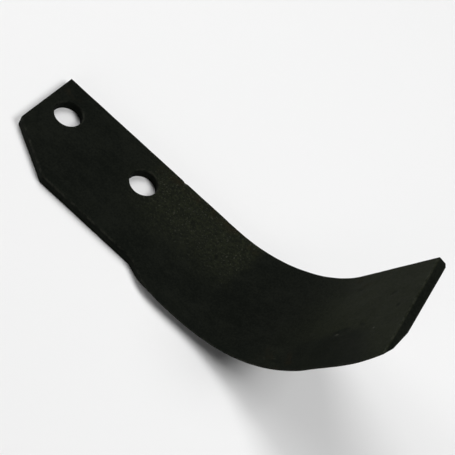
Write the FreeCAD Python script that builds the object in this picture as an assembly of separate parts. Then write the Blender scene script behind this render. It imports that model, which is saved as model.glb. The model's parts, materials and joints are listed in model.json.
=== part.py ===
import FreeCAD, Part
import math
import os

# Rotary tiller blade: one piece of flat bar, drilled at the shank, drawn out to a
# cutting edge along one side and bent up into a wing about an axis that leans
# across the bar.
#
# Frame: origin midway between the two bolt holes, on the face that seats on the
# rotor flange.  +X runs along the shank to the wing, +Y to the back edge, +Z to
# the hollow side of the bend.

V = FreeCAD.Vector

# --- the bar -------------------------------------------------------------------
BAR_WIDTH = 63.5          # width of the flat bar
BAR_THICK = 6.35          # thickness of the flat bar
BACK_LENGTH = 287.3       # back edge, end of the shank to the tip, along the bar

# --- the bolt holes --------------------------------------------------------------
HOLE_DIA = 16.67          # clearance for a 5/8 in bolt
HOLE_SPACING = 57.15      # centre to centre
HOLE_INSET = 20.0         # hole row from the back edge
END_INSET = 15.3          # outer hole centre from the square end

# --- the clipped corner of the shank ------------------------------------------------
CLIP_ALONG = 33.9         # taken off along the bar
CLIP_ANGLE = 30.0         # degrees from the bar's edge
CLIP_ROUND = 3.0          # where the clip meets the square end
CLIP_ROUND_LOW = 4.0      # where the clip meets the long edge

# --- the bend ----------------------------------------------------------------------
BEND_START = 125.4        # end of the shank to the bend, along the back edge
BEND_RADIUS = 75.0        # hollow side
BEND_ANGLE = 68.25        # degrees turned
BEND_LEAN = 11.0          # degrees the bend axis leans from square across the bar

# --- the cutting edge ---------------------------------------------------------------
EDGE_START = 99.3         # end of the shank to the shoulder where the edge begins
EDGE_RUN = 22.0           # along the bar until the edge is drawn out in full
EDGE_SPREAD = 8.8         # the drawn edge stands out this far beyond the bar
EDGE_WAIST = 0.9          # the edge draws in again this much in the bend
EDGE_BELLY = 1.3          # and swells this much more on the wing
EDGE_TIP_DROP = 1.6       # and falls back this much at the tip corner
TAPER_WIDTH = 21.5        # forged taper on the outer side, from the edge inwards
GRIND_WIDTH = 7.4         # steeper ground band next to the edge
GRIND_THICK = 3.7         # thickness left where the ground band begins
EDGE_LAND = 0.5           # thickness left at the edge

BACK_EASE = 1.6           # the back edge is eased this much on the outer side

MARGIN = 6.0              # how far cutting shapes stand clear of the bar

# --- worked out from the sizes above --------------------------------------------------
lean = math.radians(BEND_LEAN)
turn = math.radians(BEND_ANGLE)
outer_radius = BEND_RADIUS + BAR_THICK
mid_radius = BEND_RADIUS + BAR_THICK / 2
bend_run = mid_radius * turn
tip_run = (BACK_LENGTH - BEND_START) * math.cos(lean)


def lean_pair(s, v):
    """Point s along the bar, v across from the back edge: distance past the bend
    line, and distance along it."""
    q = (s - BEND_START) * math.cos(lean) - v * math.sin(lean)
    a = (s - BEND_START) * math.sin(lean) + v * math.cos(lean)
    return q, a


def at(run, rise, a):
    """Point in space from its distance out from the bend line, its height and its
    place along the line."""
    s = BEND_START + run * math.cos(lean) + a * math.sin(lean)
    v = a * math.cos(lean) - run * math.sin(lean)
    return V(s - END_INSET - HOLE_SPACING / 2, HOLE_INSET - v, rise)


def bent(q, a, h):
    """The same point after bending; h is the height above the outer face."""
    if q <= 0:
        return at(q, h, a)
    if q <= bend_run:
        ang = q / mid_radius
        return at((outer_radius - h) * math.sin(ang), outer_radius - (outer_radius - h) * math.cos(ang), a)
    past = q - bend_run
    run = (outer_radius - h) * math.sin(turn) + past * math.cos(turn)
    rise = outer_radius - (outer_radius - h) * math.cos(turn) + past * math.sin(turn)
    return at(run, rise, a)


def flat(s, v, z=0.0):
    """Point on the unbent shank."""
    return V(s - END_INSET - HOLE_SPACING / 2, HOLE_INSET - v, z)


def bent_bar():
    """The bar bent about the leaning axis, wide enough to be trimmed to shape."""
    reach = -(BEND_START + BAR_WIDTH)
    half = turn / 2
    a0 = -BAR_WIDTH
    width = 3 * BAR_WIDTH + BACK_LENGTH * math.sin(lean)
    out = [bent(reach, a0, 0), bent(0, a0, 0), bent(bend_run, a0, 0), bent(tip_run, a0, 0)]
    inn = [bent(reach, a0, BAR_THICK), bent(0, a0, BAR_THICK), bent(bend_run, a0, BAR_THICK),
           bent(tip_run, a0, BAR_THICK)]
    out_mid = bent(half * mid_radius, a0, 0)
    inn_mid = bent(half * mid_radius, a0, BAR_THICK)
    edges = [
        Part.makeLine(out[0], out[1]),
        Part.Arc(out[1], out_mid, out[2]).toShape(),
        Part.makeLine(out[2], out[3]),
        Part.makeLine(out[3], inn[3]),
        Part.makeLine(inn[3], inn[2]),
        Part.Arc(inn[2], inn_mid, inn[1]).toShape(),
        Part.makeLine(inn[1], inn[0]),
        Part.makeLine(inn[0], out[0]),
    ]
    across = at(0, 0, 1) - at(0, 0, 0)
    return Part.Face(Part.Wire(edges)).extrude(across * width)


def rounded(corners, radii):
    """Closed outline through the corners, each rounded by its own radius."""
    edges = []
    count = len(corners)
    starts = []
    ends = []
    for i in range(count):
        p = corners[i]
        before = (corners[i - 1] - p).normalize()
        after = (corners[(i + 1) % count] - p).normalize()
        if radii[i] > 0:
            angle = before.getAngle(after)
            cut = radii[i] / math.tan(angle / 2)
            middle = (before + after).normalize()
            centre = p + middle * (radii[i] / math.sin(angle / 2))
            starts.append(p + before * cut)
            ends.append(p + after * cut)
            edges.append(Part.Arc(starts[i], centre - middle * radii[i], ends[i]).toShape())
        else:
            starts.append(p)
            ends.append(p)
    for i in range(count):
        edges.append(Part.makeLine(ends[i], starts[(i + 1) % count]))
    return Part.Wire(Part.__sortEdges__(edges))


def shank_outline():
    """Everything that stays while the square end, the clipped corner and the long
    edge of the shank are cut; open wide past the shoulder and beyond the back."""
    wide = BACK_LENGTH + 2 * BAR_WIDTH
    clip_depth = CLIP_ALONG * math.tan(math.radians(CLIP_ANGLE))
    slide = V(math.sin(lean), -math.cos(lean), 0)
    shoulder = flat(EDGE_START, BAR_WIDTH)
    corners = [
        flat(0, -wide),
        flat(0, BAR_WIDTH - clip_depth),
        flat(CLIP_ALONG, BAR_WIDTH),
        shoulder,
        shoulder + slide * wide,
        flat(2 * wide, wide),
        flat(2 * wide, -wide),
    ]
    radii = [0, CLIP_ROUND, CLIP_ROUND_LOW, 0, 0, 0, 0]
    floor = V(0, 0, -MARGIN)
    wire = rounded([c + floor for c in corners], radii)
    return Part.Face(wire).extrude(V(0, 0, 2 * wide))


def section(q, pairs):
    """One slice of a cutting shape, square to the bent bar."""
    points = [bent(q, a, h) for a, h in pairs]
    return Part.makePolygon(points + [points[0]])


def back_cutters():
    """What is cut away beyond the straight back edge: on the shank, around the bend
    and on the wing."""
    clear = 2 * BAR_WIDTH

    def slab(q):
        wall = q * math.tan(lean)
        return section(q, [
            (wall, BAR_THICK + MARGIN),
            (wall, BACK_EASE),
            (wall + BACK_EASE + 1, -1),
            (-clear, -1),
            (-clear, BAR_THICK + MARGIN),
        ])

    steps = 12
    start = -(BEND_START + BAR_WIDTH)
    shank = Part.makeLoft([slab(start), slab(0)], True, True)
    bend = Part.makeLoft([slab(bend_run * i / steps) for i in range(steps + 1)], True, False)
    wing = Part.makeLoft([slab(bend_run), slab(tip_run + MARGIN)], True, True)
    return [shank, bend, wing]


def edge_line():
    """The cutting edge laid out flat, from the shoulder to past the tip."""
    full = BAR_WIDTH + EDGE_SPREAD
    start = EDGE_START
    tip = BACK_LENGTH + full * math.tan(lean)
    bend_mid = BEND_START + bend_run / 2 + full * math.tan(lean)
    bend_end = BEND_START + bend_run + full * math.tan(lean)
    points = [
        (start, BAR_WIDTH),
        (start + 0.2 * EDGE_RUN, BAR_WIDTH + 0.17 * EDGE_SPREAD),
        (start + 0.4 * EDGE_RUN, BAR_WIDTH + 0.46 * EDGE_SPREAD),
        (start + 0.6 * EDGE_RUN, BAR_WIDTH + 0.72 * EDGE_SPREAD),
        (start + EDGE_RUN, full - 0.05 * EDGE_SPREAD),
        (start + 2 * EDGE_RUN, full),
        (bend_mid, full),
        (bend_end - 0.1 * bend_run, full - EDGE_WAIST),
        (0.32 * tip + 0.68 * bend_end, full + 0.5 * EDGE_BELLY),
        (0.75 * tip + 0.25 * bend_end, full + EDGE_BELLY),
        (tip, full - EDGE_TIP_DROP),
        (tip + 2 * MARGIN, full - 3 * EDGE_TIP_DROP),
    ]
    curve = Part.BSplineCurve()
    curve.interpolate([V(s, v, 0) for s, v in points])
    return curve


def edge_cutter():
    """What is drawn out and ground away outside and under the cutting edge."""
    curve = edge_line()
    length = curve.length()
    below = 1.5
    slope = (BAR_THICK - GRIND_THICK) / (TAPER_WIDTH - GRIND_WIDTH)
    foot = TAPER_WIDTH + below / slope
    clear = 3 * BAR_WIDTH + BACK_LENGTH * math.sin(lean)
    near = 12
    far = 36
    marks = [EDGE_RUN * 1.15 * i / near for i in range(near)]
    rest = EDGE_RUN * 1.15
    marks += [rest + (length - rest) * i / far for i in range(far + 1)]
    slices = []
    for mark in marks:
        p = curve.value(curve.parameterAtDistance(mark))
        q, a = lean_pair(p.x, p.y)
        x = min(max((p.x - EDGE_START) / EDGE_RUN, 0.0), 1.0)
        full = x * x * (3 - 2 * x)
        slices.append(section(q, [
            (a, BAR_THICK + MARGIN),
            (a, full * (BAR_THICK - EDGE_LAND) - (1 - full) * 0.4 * below),
            (a - full * GRIND_WIDTH, full * (BAR_THICK - GRIND_THICK) - (1 - full) * 0.7 * below),
            (a - full * foot, -below),
            (clear, -below),
            (clear, BAR_THICK + MARGIN),
        ]))
    return Part.makeLoft(slices, True, False)


def hole(s):
    return Part.makeCylinder(HOLE_DIA / 2, BAR_THICK + 2 * MARGIN, flat(s, HOLE_INSET, -MARGIN), V(0, 0, 1))


blade = bent_bar().common(shank_outline())
for cutter in back_cutters():
    blade = blade.cut(cutter)
blade = blade.cut(edge_cutter())
for s in (END_INSET, END_INSET + HOLE_SPACING):
    blade = blade.cut(hole(s))
blade = blade.removeSplitter()
if len(blade.Solids) == 1:
    blade = blade.Solids[0]

os.makedirs("parts", exist_ok=True)
blade.exportStep("parts/blade.step")
print("solids", len(blade.Solids), "faces", len(blade.Faces), "valid", blade.isValid())
print("volume", round(blade.Volume), "box", blade.optimalBoundingBox())
print("centre", blade.CenterOfGravity)
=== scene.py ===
# %% [markdown]
# # A blade for a rotary tiller
# A tiller blade is one piece of flat steel bar. The smith shears it to length, drills two bolt holes,
# draws one long side out to a cutting edge and bends the bar over a former, so that the wing scoops soil.
# This notebook makes it in that order: lay the blade out flat, give it thickness and worn edges, bend it,
# then colour it. Every size is in metres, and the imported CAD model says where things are.

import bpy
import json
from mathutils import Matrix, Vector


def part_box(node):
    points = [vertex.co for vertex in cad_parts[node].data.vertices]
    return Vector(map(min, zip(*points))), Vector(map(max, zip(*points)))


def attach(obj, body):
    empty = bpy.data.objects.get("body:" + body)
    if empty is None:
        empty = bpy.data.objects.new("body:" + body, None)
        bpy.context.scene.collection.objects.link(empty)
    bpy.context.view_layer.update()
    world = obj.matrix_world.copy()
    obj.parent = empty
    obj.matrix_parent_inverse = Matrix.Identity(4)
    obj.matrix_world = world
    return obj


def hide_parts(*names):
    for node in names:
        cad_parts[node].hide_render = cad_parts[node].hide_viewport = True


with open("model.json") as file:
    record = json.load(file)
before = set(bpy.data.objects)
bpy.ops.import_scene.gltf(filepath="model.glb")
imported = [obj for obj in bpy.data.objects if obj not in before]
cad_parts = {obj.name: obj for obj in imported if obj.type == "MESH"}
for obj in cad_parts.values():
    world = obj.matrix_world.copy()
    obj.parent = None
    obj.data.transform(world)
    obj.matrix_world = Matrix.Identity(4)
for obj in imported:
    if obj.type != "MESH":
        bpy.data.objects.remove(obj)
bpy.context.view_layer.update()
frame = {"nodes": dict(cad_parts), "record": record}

# %% [markdown]
# ## Where the blade is
# The record names the two bolt holes as a mount and gives their radius and distance. The CAD box gives the
# square end, and the back edge lies a given 20 mm from the hole centres. Reading them here, and not typing
# them again, keeps both models together.

# %% Read the holes and the ends
import json
import math

import bmesh
import bpy
import numpy as np
from mathutils import Matrix, Vector, noise
from mathutils.bvhtree import BVHTree

MM = 0.001
bolts = next(m for m in frame["record"]["mounts"] if m["name"] == "flange_bolts")
hole_radius = bolts["dims"]["hole_r_mm"] * MM
hole_gap = bolts["dims"]["spacing_x_mm"] * MM
low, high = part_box("blade")
end_x = low.x
hole_inset = 20.0 * MM
back_y = hole_inset
hole_spots = [(-hole_gap / 2 - end_x, hole_inset), (hole_gap / 2 - end_x, hole_inset)]
print("holes, along and across the bar in mm:", np.round(np.array(hole_spots) / MM, 2).tolist())

# %% [markdown]
# ## The bar and its bend
# A bent bar is easiest to think of twice: flat on the bench, and bent. A point on the flat bar has a place
# along it, a place across it and a height above its outer face. The function below carries any such point
# round the bend. The line that the bar bends about leans, so the wing also turns a little to one side.

# %% Name the bar's sizes and write the bend
BAR_WIDTH = 63.5 * MM
BAR_THICK = 6.35 * MM
BACK_LENGTH = 287.3 * MM
BEND_START = 125.4 * MM
BEND_RADIUS = 75 * MM
TURN = math.radians(68.25)
LEAN = math.radians(11)

outer_radius = BEND_RADIUS + BAR_THICK
mid_radius = BEND_RADIUS + BAR_THICK / 2
bend_run = mid_radius * TURN
line_way = np.array([math.sin(LEAN), math.cos(LEAN)])
square_way = np.array([math.cos(LEAN), -math.sin(LEAN)])


def to_line(plan):
    """How far flat points are past the bend line, and how far along it."""
    from_start = plan - [BEND_START, 0]
    return from_start @ square_way, from_start @ line_way


def bend(laid):
    """Flat points (along, across, height) as they are on the bent blade."""
    past, place = to_line(laid[:, :2])
    height = laid[:, 2]
    angle = np.clip(past / mid_radius, 0, TURN)
    wing = np.maximum(past - bend_run, 0)
    reach = np.minimum(past, 0) + (outer_radius - height) * np.sin(angle) + wing * math.cos(TURN)
    rise = outer_radius - (outer_radius - height) * np.cos(angle) + wing * math.sin(TURN)
    plan = np.outer(reach, square_way) + np.outer(place, line_way) + [BEND_START, 0]
    return np.column_stack([plan[:, 0] + end_x, back_y - plan[:, 1], rise])


tip = bend(np.array([[BACK_LENGTH, 0, BAR_THICK]]))[0]
print("the wing's back corner lands at", tip.round(4), "and the CAD top is at", round(high.z, 4))

# %% [markdown]
# ## The long front side
# Seen flat, the front side starts at a clipped corner, runs straight to a shoulder, and swells there into
# the drawn-out cutting edge. The straight parts are lines with small fillets. The edge is a smooth curve
# through a few points, as a draughtsman would draw it with a bent spline.

# %% Draw the front side, flat
CLIP_ALONG = 33.9 * MM
CLIP_ANGLE = math.radians(30)
CLIP_ROUND = 3 * MM
CLIP_ROUND_LOW = 4 * MM
EDGE_START = 99.3 * MM
EDGE_RUN = 22 * MM
EDGE_SPREAD = 8.8 * MM
EDGE_RISE = [(0.2, 0.17), (0.4, 0.46), (0.6, 0.72), (1.0, 0.95)]  # shares of the run and of the spread
EDGE_WAIST = 0.9 * MM
WAIST_BEFORE = 0.1  # share of the bend by which the waist comes before the bend's end
EDGE_BELLY = 1.3 * MM
BELLY_HALF = 0.32  # shares of the wing where the belly is half and fully reached
BELLY_FULL = 0.75
EDGE_TIP_DROP = 1.6 * MM
PAST_TIP = 12 * MM


def fillet(corner, way_in, way_out, radius, steps=12):
    """An arc that rounds a corner between two directions."""
    angle = math.acos(float(np.dot(way_in, way_out)))
    side = (way_out - np.dot(way_in, way_out) * way_in) / math.sin(angle)
    start = corner - way_in * radius * math.tan(angle / 2)
    t = np.linspace(0, angle, steps)[:, None]
    return start + side * radius * (1 - np.cos(t)) + way_in * radius * np.sin(t)


def smooth_curve(points, step=0.2 * MM):
    """A natural cubic spline through points, spaced by the distance between them."""
    points = np.array(points)
    knots = np.r_[0, np.cumsum(np.linalg.norm(np.diff(points, axis=0), axis=1))]
    gaps = np.diff(knots)
    n = len(points)
    system = np.eye(n)
    right = np.zeros((n, 2))
    slopes = np.diff(points, axis=0) / gaps[:, None]
    for i in range(1, n - 1):
        system[i, i - 1:i + 2] = gaps[i - 1], 2 * (gaps[i - 1] + gaps[i]), gaps[i]
        right[i] = 6 * (slopes[i] - slopes[i - 1])
    curving = np.linalg.solve(system, right)
    t = np.arange(0, knots[-1], step)
    i = np.clip(np.searchsorted(knots, t, side="right") - 1, 0, n - 2)
    u, g = (t - knots[i])[:, None], gaps[i][:, None]
    first = slopes[i] - g * (2 * curving[i] + curving[i + 1]) / 6
    return points[i] + first * u + curving[i] * u**2 / 2 + (curving[i + 1] - curving[i]) * u**3 / (6 * g)


full = BAR_WIDTH + EDGE_SPREAD
edge_lean = full * math.tan(LEAN)
edge_tip = BACK_LENGTH + edge_lean
edge_bend_end = BEND_START + bend_run + edge_lean
shoulder = [(EDGE_START + run * EDGE_RUN, BAR_WIDTH + rise * EDGE_SPREAD) for run, rise in EDGE_RISE]
edge = smooth_curve([(EDGE_START, BAR_WIDTH)] + shoulder + [
    (EDGE_START + 2 * EDGE_RUN, full),
    (edge_bend_end - bend_run / 2, full),
    (edge_bend_end - WAIST_BEFORE * bend_run, full - EDGE_WAIST),
    (BELLY_HALF * edge_tip + (1 - BELLY_HALF) * edge_bend_end, full + EDGE_BELLY / 2),
    (BELLY_FULL * edge_tip + (1 - BELLY_FULL) * edge_bend_end, full + EDGE_BELLY),
    (edge_tip, full - EDGE_TIP_DROP),
    (edge_tip + PAST_TIP, full - 3 * EDGE_TIP_DROP),
])
tip_past = (BACK_LENGTH - BEND_START) * math.cos(LEAN)
edge_past, edge_place = to_line(edge)
last = int(np.searchsorted(edge_past, tip_past))
share = (tip_past - edge_past[last - 1]) / (edge_past[last] - edge_past[last - 1])
tip_corner = edge[last - 1] + share * (edge[last] - edge[last - 1])

across_way = np.array([0.0, 1.0])
clip_way = np.array([math.cos(CLIP_ANGLE), math.sin(CLIP_ANGLE)])
along_way = np.array([1.0, 0.0])
clip_top = np.array([0, BAR_WIDTH - CLIP_ALONG * math.tan(CLIP_ANGLE)])
clip_low = np.array([CLIP_ALONG, BAR_WIDTH])
end_arc = fillet(clip_top, across_way, clip_way, CLIP_ROUND)
low_arc = fillet(clip_low, clip_way, along_way, CLIP_ROUND_LOW)
half = len(end_arc) // 2
front_runs = [
    np.vstack([end_arc[half:], low_arc[:half + 1]]),
    np.vstack([low_arc[half:], edge[:1]]),
    np.vstack([edge[:last], tip_corner]),
]
run_lengths = [np.linalg.norm(np.diff(run, axis=0), axis=1).sum() for run in front_runs]
print("front side in three runs, mm:", (np.array(run_lengths) / MM).round(1).tolist())

# %% [markdown]
# ## How thick the bar is
# The outer face is worked down towards the cutting edge in two steps: a long forged taper, then a steeper
# ground band that ends in a thin land. The opposite edge is only eased. A height above the outer face,
# asked at any flat point, says all of this in one place.

# %% Write the outer face as a height
TAPER_WIDTH = 21.5 * MM
GRIND_WIDTH = 7.4 * MM
GRIND_THICK = 3.7 * MM
EDGE_LAND = 0.5 * MM
BACK_EASE = 1.6 * MM
BELOW = 1.5 * MM  # how far the worked faces would lie below the outer face where they begin
LAND_SINK = 0.4
GRIND_SINK = 0.7


def ease(x):
    """From 0 to 1 with a soft start and end."""
    x = np.clip(x, 0, 1)
    return x * x * (3 - 2 * x)


def outer_height(plan):
    """Height of the outer face: 0 on the plain bar, more where it is worked down."""
    past, place = to_line(plan)
    inward = np.interp(past, edge_past, edge_place) - place
    drawn = np.maximum(ease((np.interp(past, edge_past, edge[:, 0]) - EDGE_START) / EDGE_RUN), 1e-6)
    undrawn = (1 - drawn) * BELOW
    at_edge = drawn * (BAR_THICK - EDGE_LAND) - LAND_SINK * undrawn
    at_grind = drawn * (BAR_THICK - GRIND_THICK) - GRIND_SINK * undrawn
    ground = drawn * GRIND_WIDTH
    taper_slope = (BAR_THICK - GRIND_THICK) / (TAPER_WIDTH - GRIND_WIDTH)
    foot = drawn * (TAPER_WIDTH + BELOW / taper_slope)
    steep = at_edge - (at_edge - at_grind) * inward / ground
    gentle = at_grind - (at_grind + BELOW) * (inward - ground) / (foot - ground)
    height = np.where(inward < ground, steep, gentle)
    return np.maximum(np.maximum(height, BACK_EASE - plan[:, 1] / math.cos(LEAN)), 0)


wing_cut = np.array([(270, across) for across in (5, 40, 55, 65, 70)]) * MM
print("thickness across the wing, mm:", ((BAR_THICK - outer_height(wing_cut)) / MM).round(2).tolist())

# %% [markdown]
# ## Lay out the net of faces
# The flat bar is covered with about one-millimetre cells. Each row of cells runs from the back edge to the
# front side, and turns slowly until it is parallel to the bend line, so that cells stay square in the bend.
# Near the cutting edge the rows keep fixed distances from it, so that the ground band gets a clean corner.
# A little unevenness goes in here, before anything is built on it: sheared edges are never dead straight.

# %% Place the rows
CELL = 1.0 * MM
LEANING_FROM = 0.35  # share of the length after which the rows lean as much as the bend line
GRIND_POINTS = 9
TAPER_POINTS = 15
PLAIN_POINTS = 42
FRONT_WAVE = 0.07 * MM
BACK_WAVE = 0.05 * MM
# nicks in the back edge: place along it, depth and reach in mm
NICKS = [(87.5, 0.55, 1.1), (61.0, 0.12, 2.5), (121.0, 0.15, 1.6), (236.0, 0.18, 2.2)]


def spread_out(line, count):
    """The line divided into equal lengths."""
    length = np.r_[0, np.cumsum(np.linalg.norm(np.diff(line, axis=0), axis=1))]
    marks = np.linspace(0, length[-1], count + 1)
    return np.column_stack([np.interp(marks, length, line[:, k]) for k in (0, 1)])


def wander(points, size, seed):
    """Smooth unevenness from -1 to 1 at flat points, with bumps of about this size."""
    return np.array([noise.noise(Vector((p[0] / size, p[1] / size, seed))) for p in points])


front = []
for run, length in zip(front_runs, run_lengths):
    front.append(spread_out(run, round(length / CELL))[bool(len(front)):])
front = np.vstack(front)
way_along = (front[:, 0] - front[0, 0]) / (front[-1, 0] - front[0, 0])
leaning = ease(way_along / LEANING_FROM)
back = np.column_stack([
    front[:, 0] - (1 - leaning) * front[0, 0] - leaning * front[:, 1] * math.tan(LEAN),
    np.zeros(len(front)),
])
tangent = np.gradient(front, axis=0)
tangent /= np.linalg.norm(tangent, axis=1)[:, None]
inwards = np.column_stack([tangent[:, 1], -tangent[:, 0]])
front += inwards * (FRONT_WAVE * (1 + wander(front, 9 * MM, 3.1)))[:, None]
back[:, 1] += BACK_WAVE * (1 + wander(back, 13 * MM, 7.7))
for place, depth, reach in NICKS:
    back[:, 1] += depth * MM * np.exp(-((back[:, 0] / MM - place) / reach) ** 2)

ground = np.linspace(0, GRIND_WIDTH, GRIND_POINTS)
tapered = np.linspace(GRIND_WIDTH, TAPER_WIDTH, TAPER_POINTS)
offsets = np.r_[ground, tapered[1:]]
ruling = front - back
reach = np.linalg.norm(ruling, axis=1)
ruling /= reach[:, None]
ease_at = BACK_EASE * math.cos(LEAN)
net = []
for i in range(len(front)):
    inner = reach[i] - offsets[::-1]
    plain = np.linspace(ease_at, inner[0], PLAIN_POINTS)[:-1]
    marks = np.r_[0, plain, inner]
    net.append(back[i] + marks[:, None] * ruling[i])
net = np.array(net)
first = net[0]
on_arc = np.clip((first[:, 1] - end_arc[0, 1]) / CLIP_ROUND, 0, 1)
first[:, 0] = CLIP_ROUND * (1 - np.sqrt(1 - on_arc ** 2))
first[:-1, 0] += BACK_WAVE * (1 + wander(first[:-1], 8 * MM, 5.5))
rows, columns = net.shape[:2]
print("net of", rows, "by", columns, "points")

# %% [markdown]
# ## Leave room for the holes
# A round hole doesn't fit a square net. So a square block of cells around each hole is taken out, and the
# gap between the block's edge and the circle is filled with rings that turn from square to round. Drilling
# with a boolean would be quicker to write, but it leaves thin odd-shaped faces round the rim.

# %% Cut two blocks out of the net and fit rings
BLOCK_HALF = hole_radius + 3.2 * MM  # half a block's side
RINGS = 4

plan = net.reshape(-1, 2)
inside_block = np.zeros((rows - 1, columns - 1), bool)
loops = []
quads = []


def number(i, j):
    return i * columns + j


for spot in hole_spots:
    near = np.all(np.abs(net - spot) < BLOCK_HALF, axis=2)
    i0, i1 = np.where(near.any(1))[0][[0, -1]]
    j0, j1 = np.where(near.any(0))[0][[0, -1]]
    inside_block[i0:i1, j0:j1] = True
    ring = [number(i, j0) for i in range(i0, i1)] + [number(i1, j) for j in range(j0, j1)]
    ring += [number(i, j1) for i in range(i1, i0, -1)] + [number(i0, j) for j in range(j1, j0, -1)]
    square = plan[ring] - spot
    count = len(ring)
    start = math.atan2(square[0, 1], square[0, 0])
    angles = start + np.arange(count) * 2 * math.pi / count
    circle = hole_radius * np.column_stack([np.cos(angles), np.sin(angles)])
    before = ring
    for k in range(1, RINGS + 1):
        t = k / RINGS
        base = len(plan)
        plan = np.vstack([plan, spot + (1 - t) * square + t * circle])
        now = list(range(base, base + count))
        for m in range(count):
            n = (m + 1) % count
            quads.append((before[m], before[n], now[n], now[m]))
        before = now
    loops.append(np.array(before[::-1]))
quads += [(number(i, j), number(i + 1, j), number(i + 1, j + 1), number(i, j + 1))
          for i in range(rows - 1) for j in range(columns - 1) if not inside_block[i, j]]
rim = [number(i, 0) for i in range(rows - 1)]
rim += [number(rows - 1, j) for j in range(columns - 1)]
rim += [number(i, columns - 1) for i in range(rows - 1, 0, -1)]
rim += [number(0, j) for j in range(columns - 1, 0, -1)]
loops.insert(0, np.array(rim))
print(len(quads), "cells on each face, hole rims of", [len(x) for x in loops[1:]], "points")

# %% [markdown]
# ## Thickness, eased edges and hammer marks
# The inner and the outer face are two copies of the net at different heights. Between them goes a wall all
# round. Real edges catch the light because they are never sharp, so the wall curls over at its top and
# bottom. The faces dip by a tenth of a millimetre or so, as forged faces do, and a few dents go deeper.

# %% Build the skin, flat
CURL = 0.5 * MM
CURL_STEPS = 3
CURL_SHARE = 0.42  # the two curls of a thin wall take up to this share of it each
WALL_STEPS = 4
FORGE_DIP = 0.035 * MM
HAMMER_DIP = 0.012 * MM
# each dent: along, across, half length, half width, depth in mm, and its turn in degrees
DENTS = [
    (239.5, 46.5, 4.0, 1.5, 0.22, 12), (246.0, 45.0, 5.0, 1.8, 0.14, 8), (273.0, 48.0, 1.1, 0.9, 0.16, 0),
    (259.0, 43.0, 3.6, 1.2, 0.15, 20), (268.0, 22.0, 3.0, 1.2, 0.14, -15), (231.0, 13.0, 4.5, 1.4, 0.09, 5),
    (281.0, 33.0, 2.4, 1.4, 0.14, 30), (222.0, 62.0, 2.2, 1.6, 0.10, 0), (108.0, 18.0, 3.2, 1.5, 0.10, 40),
    (121.0, 12.0, 2.6, 1.4, 0.09, -30), (97.0, 30.0, 2.8, 1.2, 0.07, 10), (130.0, 24.0, 3.6, 1.8, 0.10, 65),
    (171.0, 38.0, 4.0, 2.4, 0.09, 25), (50.0, 44.0, 3.0, 1.4, 0.06, -20), (205.0, 66.0, 6.0, 1.2, 0.12, 2),
]
# the same for spots rubbed bare, with a strength up to 1 in place of the depth
RUBBED = [
    (273.0, 48.0, 1.0, 0.8, 1.0, 0), (240.5, 47.5, 2.8, 0.8, 0.7, 14), (197.0, 66.0, 1.8, 0.7, 0.45, 20),
    (204.0, 64.5, 5.0, 0.6, 0.40, 8), (88.0, 1.0, 1.8, 1.2, 0.8, 0), (96.0, 21.0, 1.9, 0.6, 0.6, 60),
    (104.0, 30.0, 1.5, 0.6, 0.5, -25), (112.0, 6.0, 1.6, 0.7, 0.7, 30), (127.0, 10.0, 2.0, 0.6, 0.6, 50),
    (134.0, 19.0, 1.6, 0.6, 0.5, 75), (119.0, 23.0, 1.3, 0.6, 0.5, 10), (138.0, 30.0, 1.8, 0.5, 0.4, 65),
    (100.0, 12.0, 1.2, 0.7, 0.6, -40), (247.0, 43.5, 2.4, 0.6, 0.35, 10), (66.0, 33.5, 2.6, 0.4, 0.3, 80),
]


def dips(points, seed):
    """How far the face sinks at flat points: broad forging waves and smaller hammer marks."""
    broad = 1 + wander(points, 26 * MM, seed)
    small = 1 + wander(points, 7 * MM, seed + 20)
    return FORGE_DIP * broad + HAMMER_DIP * small


def marks(points, table):
    """All marks of a table at flat points, added up. Each is a soft oval."""
    total = np.zeros(len(points))
    for along, across, long, wide, deep, turn_by in table:
        away = points / MM - [along, across]
        c, s = math.cos(math.radians(turn_by)), math.sin(math.radians(turn_by))
        total += deep * np.exp(-((away @ [c, s]) / long) ** 2 - ((away @ [-s, c]) / wide) ** 2)
    return total


def top_height(points):
    solid = (BAR_THICK - outer_height(points)) / BAR_THICK
    return BAR_THICK - (dips(points, 1.3) + MM * marks(points, DENTS)) * solid


def low_height(points):
    solid = (BAR_THICK - outer_height(points)) / BAR_THICK
    return outer_height(points) + dips(points, 9.4) * solid


def outward(loop):
    """For each point of a loop, the way straight out of the steel, longer at corners so both sides fit."""
    points = plan[loop]
    step_in = points - np.roll(points, 1, axis=0)
    step_out = np.roll(points, -1, axis=0) - points
    sides = []
    for step in (step_in, step_out):
        unit = step / np.linalg.norm(step, axis=1)[:, None]
        sides.append(np.column_stack([unit[:, 1], -unit[:, 0]]))
    middle = sides[0] + sides[1]
    return middle / (1 + (sides[0] * sides[1]).sum(1))[:, None]


inset = np.zeros((len(plan), 2))
curls = []
for loop in loops:
    out = outward(loop)
    curl = CURL * (1 + 0.3 * wander(plan[loop], 6 * MM, 11.2))
    curl = np.minimum(curl, CURL_SHARE * (BAR_THICK - outer_height(plan[loop])))
    inset[loop] = out * curl[:, None]
    curls.append((out, curl))
sheet = plan - inset
top = np.column_stack([sheet, top_height(sheet)])
bottom = np.column_stack([sheet, low_height(sheet)])
laid = [top, bottom]
faces = [q[::-1] for q in quads] + [tuple(n + len(plan) for n in q) for q in quads]
rim_distance = [np.min(np.linalg.norm(sheet[:, None, :] - plan[loop][None, ::2, :], axis=2), axis=1)
                for loop in loops]
rim_distance = np.maximum(np.min(rim_distance, axis=0) - CURL, 0)
rims = [rim_distance, rim_distance]

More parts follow.
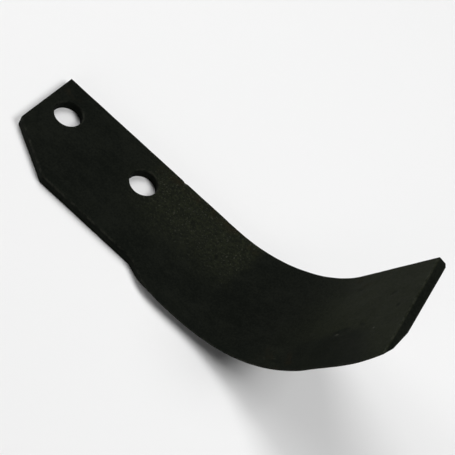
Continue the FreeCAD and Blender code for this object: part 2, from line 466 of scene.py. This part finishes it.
size = 2 * len(plan)
for loop, (out, curl) in zip(loops, curls):
    edge_line = plan[loop]
    up, down = top[loop, 2], bottom[loop, 2]
    profile = []
    for step in range(1, CURL_STEPS + 1):
        turn_by = math.pi / 2 * step / CURL_STEPS
        profile.append((edge_line - out * (curl * (1 - math.sin(turn_by)))[:, None],
                        up - curl * (1 - math.cos(turn_by))))
    for step in range(1, WALL_STEPS):
        t = step / WALL_STEPS
        profile.append((edge_line, (up - curl) * (1 - t) + (down + curl) * t))
    for step in range(CURL_STEPS, 0, -1):
        turn_by = math.pi / 2 * step / CURL_STEPS
        profile.append((edge_line - out * (curl * (1 - math.sin(turn_by)))[:, None],
                        down + curl * (1 - math.cos(turn_by))))
    count = len(loop)
    bands = [loop]
    for spot, height in profile:
        laid.append(np.column_stack([spot, height]))
        rims.append(np.maximum(np.minimum(up - height, height - down) - curl, 0))
        bands.append(np.arange(size, size + count))
        size += count
    bands.append(loop + len(plan))
    for above, below in zip(bands, bands[1:]):
        for m in range(count):
            n = (m + 1) % count
            faces.append((above[n], below[n], below[m], above[m]))
laid = np.vstack(laid)
rims = np.concatenate(rims)
print("skin of", len(laid), "points and", len(faces), "faces, flat")

# %% [markdown]
# ## Bend it
# With the whole skin laid out flat, the bend is one call. The new mesh then stands for the CAD solid and
# rides on the root body. Four notes are stored on its points for the material: where each point was on the
# flat bar, how far it is from the nearest edge, and how deep it lies in a dent or a rubbed spot.

# %% Make the mesh
mesh = bpy.data.meshes.new("tiller_blade")
mesh.from_pydata(bend(laid).tolist(), [], [tuple(int(n) for n in f) for f in faces])
blade = bpy.data.objects.new("tiller_blade", mesh)
bpy.context.scene.collection.objects.link(blade)
flat_note = mesh.attributes.new("laid", "FLOAT_VECTOR", "POINT")
flat_note.data.foreach_set("vector", (laid / MM).astype(np.float32).ravel())
notes = {"rim": rims / MM, "dent": marks(laid[:, :2], DENTS), "rubbed": marks(laid[:, :2], RUBBED)}
for name, values in notes.items():
    mesh.attributes.new(name, "FLOAT", "POINT").data.foreach_set("value", values.astype(np.float32))
tidy = bmesh.new()
tidy.from_mesh(mesh)
loose = [v for v in tidy.verts if not v.link_faces]
bmesh.ops.delete(tidy, geom=loose, context="VERTS")
print("open edges:", sum(not e.is_manifold for e in tidy.edges), " loose points taken out:", len(loose),
      " volume in mm3:", round(tidy.calc_volume(signed=True) / MM ** 3))
tidy.to_mesh(mesh)
tidy.free()
mesh.shade_smooth()

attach(blade, "root")
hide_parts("blade")

# %% Measure it against the CAD shape
cad = frame["nodes"]["blade"]
tree = BVHTree.FromPolygons([v.co for v in cad.data.vertices], [tuple(p.vertices) for p in cad.data.polygons])
gaps = [tree.find_nearest(v.co)[3] for v in mesh.vertices]
print("furthest from the CAD shape, mm:", round(max(gaps) / MM, 3))
print("on average, mm:", round(sum(gaps) / len(gaps) / MM, 3))

# %% [markdown]
# ## Tools for the finish
# Blender builds a finish from nodes. A few short helpers keep the recipe readable: one adds a node and
# plugs in what it is given, one reads noise at a chosen grain size, and one turns any value into a soft
# mask between two limits. Two smaller ones multiply masks and mix colours. The pattern reads the flat-bar
# coordinates in millimetres, so a rolling mark follows the steel round the bend just as on the real bar.

# %% Write the node helpers
steel = bpy.data.materials.new("black_forged_steel")
steel.use_nodes = True
tree = steel.node_tree
shader = tree.nodes["Principled BSDF"]


def node(kind, sockets=None, **settings):
    """A new node. Each socket gets a plain value or another node's output."""
    made = tree.nodes.new("ShaderNode" + kind)
    for name, value in settings.items():
        setattr(made, name, value)
    for name, value in (sockets or {}).items():
        if isinstance(value, bpy.types.NodeSocket):
            tree.links.new(value, made.inputs[name])
        else:
            made.inputs[name].default_value = value
    return made


def calc(operation, *values):
    return node("Math", dict(enumerate(values)), operation=operation).outputs[0]


def grain(size, detail=3.0, stretch=(1, 1, 1), shift=(0, 0, 0)):
    """Noise from 0 to 1 with spots of about this many millimetres, longer where stretch is over 1."""
    scaled = node("Mapping", {"Vector": spot_on_bar, "Location": shift,
                              "Scale": [1 / (size * s) for s in stretch]}).outputs[0]
    noise_in = {"Vector": scaled, "Scale": 1.0, "Detail": detail, "Roughness": 0.6}
    return node("TexNoise", noise_in).outputs["Fac"]


def mask(value, start, end):
    """0 before start and 1 after end, soft between. End may be the smaller one."""
    return node("MapRange", {"Value": value, "From Min": start, "From Max": end},
                interpolation_type="SMOOTHSTEP").outputs[0]


def both(*masks):
    value = masks[0]
    for other in masks[1:]:
        value = calc("MULTIPLY", value, other)
    return value


def blend_to(colour, new, share):
    mixed = node("Mix", {"Factor": share}, data_type="RGBA")
    for socket, value in ((mixed.inputs[6], colour), (mixed.inputs[7], new)):
        if isinstance(value, bpy.types.NodeSocket):
            tree.links.new(value, socket)
        else:
            socket.default_value = (*value, 1)
    return mixed.outputs[2]


spot_on_bar = node("Attribute", attribute_name="laid").outputs["Vector"]
rim_away = node("Attribute", attribute_name="rim").outputs["Fac"]
print("helpers ready, material", steel.name)

# %% [markdown]
# ## Black scale
# The bar leaves the forge with a skin of black scale and is dipped in thin black paint. That skin is nearly
# black with a breath of olive, and never even: it has clouds a few centimetres wide, finger-wide mottling
# and a fine grain. Each size gets its own noise, because one noise alone always looks like a computer's.

# %% Mix the black scale
OXIDE_DEEP = (0.0042, 0.0052, 0.0040)
OXIDE = (0.0088, 0.0101, 0.0077)
OLIVE = (0.0205, 0.0235, 0.0125)
RUST = (0.0170, 0.0125, 0.0068)
BARE = (0.070, 0.072, 0.056)

clouds = grain(34, 2)
mottle = grain(5.5, 4, stretch=(1.6, 1, 1))
fine = grain(1.1, 2)
rolled = grain(2.4, 3, stretch=(9, 1, 1), shift=(3, 7, 1))
tone = calc("ADD", calc("MULTIPLY", clouds, 0.25), calc("MULTIPLY", mottle, 0.25))
tone = calc("ADD", tone, calc("MULTIPLY", fine, 0.40))
tone = calc("ADD", tone, calc("MULTIPLY", rolled, 0.1))
colour = blend_to(OXIDE_DEEP, OXIDE, mask(tone, 0.38, 0.62))
print("black scale from", OXIDE_DEEP, "to", OXIDE)

# %% [markdown]
# ## Where the skin is worn, and a band of painted shade
# Handling and soil rub the scale thin. Behind the inner bolt hole lies a scuffed patch full of small bright
# flecks that stops where the bend begins. The middle of the wing is rubbed to a duller olive. A band of
# painted shade near the cutting edge holds most of that olive back, so the band stays darker. Masks along and
# across the bar draw these zones, and a slow noise shifts their borders so that none runs straight.

# %% Draw the worn zones and the painted shade band
apart = node("SeparateXYZ", {"Vector": spot_on_bar})
drift = calc("MULTIPLY", calc("SUBTRACT", grain(16, 3, shift=(9, 2, 5)), 0.5), 16)
along = calc("ADD", apart.outputs["X"], drift)
across = calc("ADD", apart.outputs["Y"], drift)
inner_face = mask(apart.outputs["Z"], 5.0, 5.9)

patch = both(mask(along, 56, 90), mask(along, 150, 141), mask(across, 52, 14), inner_face)
patch_spots = both(patch, mask(grain(1.7, 5, shift=(1, 4, 2)), 0.40, 0.68))
wing = both(mask(along, 180, 240), inner_face)
# Painted shade: a band near the cutting edge where most of the wing's olive is left out, so it stays darker.
shade_band_end = mask(calc("SUBTRACT", along, across), 232, 206)
painted_shade_band = both(mask(across, 42, 52), mask(along, 196, 218), shade_band_end)
wing = both(wing, calc("SUBTRACT", 1, calc("MULTIPLY", painted_shade_band, 0.85)))
colour = blend_to(colour, OLIVE, calc("MULTIPLY", patch, 0.16))
colour = blend_to(colour, OLIVE, calc("MULTIPLY", patch_spots, 0.50))
speckle = calc("ADD", 0.5, calc("MULTIPLY", mask(fine, 0.3, 0.7), 0.5))
colour = blend_to(colour, OLIVE, both(wing, speckle, 0.42))
# The kept band named in this print is the band of painted shade near the cutting edge.
print("worn zones: patch, wing and kept band")

# %% [markdown]
# ## Rust, scratches and bright edges
# A brown bloom of rust creeps in along the back edge, at the outer corner and along the wing. Scratches are
# noise stretched a hundred times longer than wide, cut off high so that only its crests show. The arrises
# and the crests of the scuffed patch are rubbed to bare steel, which is brighter, smoother and metallic.

# %% Add rust, scratches and bare steel
blotches = mask(grain(7, 5, shift=(2, 8, 3)), 0.50, 0.70)
near_back = mask(apart.outputs["Y"], 11, 1)
rust_back = both(near_back, mask(along, 46, 62), mask(along, 150, 138))
rust_wing = both(mask(across, 12, 3), mask(along, 214, 232), mask(along, 268, 256))
rust_low = both(mask(across, 56, 63), mask(along, 190, 198), mask(along, 222, 212))
rust_corner = both(mask(along, 16, 8), mask(across, 12, 4))
rust = calc("MAXIMUM", calc("MAXIMUM", rust_back, rust_wing), calc("MAXIMUM", rust_low, rust_corner))
rust = both(rust, blotches)
colour = blend_to(colour, RUST, calc("MULTIPLY", rust, 0.5))

scratch_one = mask(grain(0.5, 2, stretch=(40, 1, 1), shift=(5, 1, 2)), 0.66, 0.74)
scratch_two = mask(grain(0.5, 2, stretch=(1, 26, 1), shift=(8, 3, 4)), 0.68, 0.76)
scratches = both(calc("MAXIMUM", scratch_one, scratch_two), mask(grain(24, 2, shift=(4, 4, 9)), 0.45, 0.62))
arris = both(mask(rim_away, 0.75, 0.0), mask(grain(3.2, 4, shift=(6, 6, 6)), 0.40, 0.62))
flecks = both(patch, mask(grain(1.0, 3, shift=(7, 2, 9)), 0.60, 0.68))
colour = blend_to(colour, BARE, calc("MULTIPLY", scratches, 0.06))
colour = blend_to(colour, BARE, calc("MULTIPLY", arris, 0.16))
colour = blend_to(colour, BARE, calc("MULTIPLY", flecks, 0.40))
in_dent = both(mask(node("Attribute", attribute_name="dent").outputs["Fac"], 0.03, 0.10), inner_face)
colour = blend_to(colour, OXIDE_DEEP, calc("MULTIPLY", in_dent, 0.65))
rubbed = both(mask(node("Attribute", attribute_name="rubbed").outputs["Fac"], 0.15, 0.75), inner_face)
rubbed = both(rubbed, mask(grain(0.9, 3, shift=(1, 1, 6)), 0.36, 0.52))
colour = blend_to(colour, BARE, calc("MULTIPLY", rubbed, 0.60))
tree.links.new(colour, shader.inputs["Base Color"])
print("rust, scratches, bright edges and flecks mixed in")

# %% [markdown]
# ## Sheen and relief
# Scale is dull, bare steel is smoother, and rust is the roughest of the three. The relief is a few
# hundredths of a millimetre: pitted scale, the crests of the scuffed patch and the scratches. It is left to
# a bump node, because details this small would need millions of faces, while the dents are in the mesh.

# %% Set roughness and bump
GLOSS = 0.010
BUMP_STRENGTH = 0.7
BUMP_DEPTH = 0.05 * MM

dull = calc("MULTIPLY", mask(mottle, 0.3, 0.7), 0.10)
dull = calc("ADD", dull, 0.56)
dull = calc("ADD", dull, calc("MULTIPLY", rust, 0.2))
dull = calc("SUBTRACT", dull, calc("MULTIPLY", calc("MAXIMUM", arris, flecks), 0.14))
tree.links.new(dull, shader.inputs["Roughness"])
metal = calc("MAXIMUM", flecks, calc("MULTIPLY", arris, 0.6))
tree.links.new(calc("MULTIPLY", metal, 0.5), shader.inputs["Metallic"])
shader.inputs["Specular IOR Level"].default_value = GLOSS

pits = mask(grain(1.7, 4, shift=(3, 3, 7)), 0.42, 0.30)
relief = calc("ADD", calc("MULTIPLY", grain(2.6, 5, shift=(2, 5, 8)), 1.2), calc("MULTIPLY", fine, 0.5))
relief = calc("SUBTRACT", relief, calc("MULTIPLY", pits, 0.5))
relief = calc("SUBTRACT", relief, calc("MULTIPLY", scratches, 0.4))
relief = calc("ADD", relief, calc("MULTIPLY", patch_spots, 1.0))
bump = node("Bump", {"Height": relief, "Strength": BUMP_STRENGTH, "Distance": BUMP_DEPTH})
tree.links.new(bump.outputs["Normal"], shader.inputs["Normal"])
mesh.materials.append(steel)
print(len(tree.nodes), "nodes in the finish")

# %% [markdown]
# ## Floor and light
# The blade lies on a plain pale floor that curves up far away into a low wall all round, so every view ends
# in the same sweep. Dull black steel needs light from several sides to show its form. Four big soft lamps
# do the work: one high behind the square end, one high beyond the tip, a low one at the square end that
# rakes the wing, and a weak low one on the near side. So the shank and the bend stay darker than the wing.

# %% Turn the floor from a profile
FLOOR_RADIUS = 2.6
SWEEP = 0.9
SWEEP_STEPS = 12
WALL_TOP = 1.3
ROUND_STEPS = 72
PAPER = (0.86, 0.86, 0.86, 1)


def floor_profile():
    """Distance from the middle and height, from the middle of the floor out to the wall's top."""
    points = [(r, 0.0) for r in (0.0, 0.3, 0.8, 1.6, FLOOR_RADIUS)]
    for k in range(1, SWEEP_STEPS + 1):
        a = math.pi / 2 * k / SWEEP_STEPS
        points.append((FLOOR_RADIUS + SWEEP * math.sin(a), SWEEP * (1 - math.cos(a))))
    return points + [(FLOOR_RADIUS + SWEEP, WALL_TOP)]


sweep = bmesh.new()
profile = [sweep.verts.new((r, 0, z)) for r, z in floor_profile()]
edges = [sweep.edges.new(pair) for pair in zip(profile, profile[1:])]
bmesh.ops.spin(sweep, geom=profile + edges, cent=(0, 0, 0), axis=(0, 0, 1), angle=2 * math.pi,
               steps=ROUND_STEPS)
bmesh.ops.remove_doubles(sweep, verts=sweep.verts[:], dist=0.0001)
bmesh.ops.recalc_face_normals(sweep, faces=sweep.faces[:])
floor_mesh = bpy.data.meshes.new("floor")
sweep.to_mesh(floor_mesh)
sweep.free()
floor_mesh.shade_smooth()
floor = bpy.data.objects.new("floor", floor_mesh)
bpy.context.scene.collection.objects.link(floor)
paper = bpy.data.materials.new("pale_paper")
paper.use_nodes = True
paper_shader = paper.node_tree.nodes["Principled BSDF"]
paper_shader.inputs["Base Color"].default_value = PAPER
paper_shader.inputs["Roughness"].default_value = 0.9
paper_shader.inputs["Specular IOR Level"].default_value = 0.1
floor_mesh.materials.append(paper)
print("floor out to", FLOOR_RADIUS + SWEEP, "m, with", len(floor_mesh.polygons), "faces")

# %% Hang the lamps
LAMP_AWAY = 1.5
LAMP_WIDTH = 0.8
# name, direction round the blade and height in degrees, power in watts
LAMPS = [
    ("back_lamp", 135, 58, 10.4),
    ("tip_lamp", 0, 58, 15.2),
    ("end_lamp", 180, 14, 11.2),
    ("near_lamp", 270, 14, 3.8),
]
aim = (low + high) / 2
for name, around, up_by, power in LAMPS:
    lamp = bpy.data.lights.new(name, "AREA")
    lamp.shape = "DISK"
    lamp.size = LAMP_WIDTH
    lamp.energy = power
    hung = bpy.data.objects.new(name, lamp)
    bpy.context.scene.collection.objects.link(hung)
    a, e = math.radians(around), math.radians(up_by)
    way = Vector((math.cos(a) * math.cos(e), math.sin(a) * math.cos(e), math.sin(e)))
    hung.location = aim + way * LAMP_AWAY
    hung.rotation_mode = "QUATERNION"
    hung.rotation_quaternion = (-way).to_track_quat("-Z", "Y")
    hung.visible_camera = False
sky = bpy.data.worlds.new("sky")
sky.use_nodes = True
sky.node_tree.nodes["Background"].inputs["Color"].default_value = (1, 1, 1, 1)
sky.node_tree.nodes["Background"].inputs["Strength"].default_value = 0.0
bpy.context.scene.world = sky
bpy.context.scene.view_settings.view_transform = "Standard"
print(len(LAMPS), "lamps,", sum(lamp[-1] for lamp in LAMPS), "watts in all")

# %% [markdown]
# ## The eye
# The camera stands on the near side, a little over a metre away, and looks down at the blade with a long
# lens, so that near and far parts keep their true proportions. It is turned about its own line of sight,
# which lays the blade from the top left to the lower right of the picture.

# %% Place the camera
LENS = 169.44
SENSOR = 36
eye_at = Vector((0.24011, -0.71124, 0.91677))
looking = Vector((-0.13779, 0.61829, -0.77378)).normalized()
head_up = Vector((-0.66759, 0.51913, 0.53369))
to_right = looking.cross(head_up).normalized()
lens = bpy.data.cameras.new("eye")
lens.lens = LENS
lens.sensor_width = SENSOR
eye = bpy.data.objects.new("eye", lens)
bpy.context.scene.collection.objects.link(eye)
turned = Matrix((to_right, to_right.cross(looking), -looking)).transposed()
eye.matrix_world = Matrix.Translation(eye_at) @ turned.to_4x4()
bpy.context.scene.camera = eye
print("camera", round((eye_at - aim).length, 3), "m from the middle of the blade")
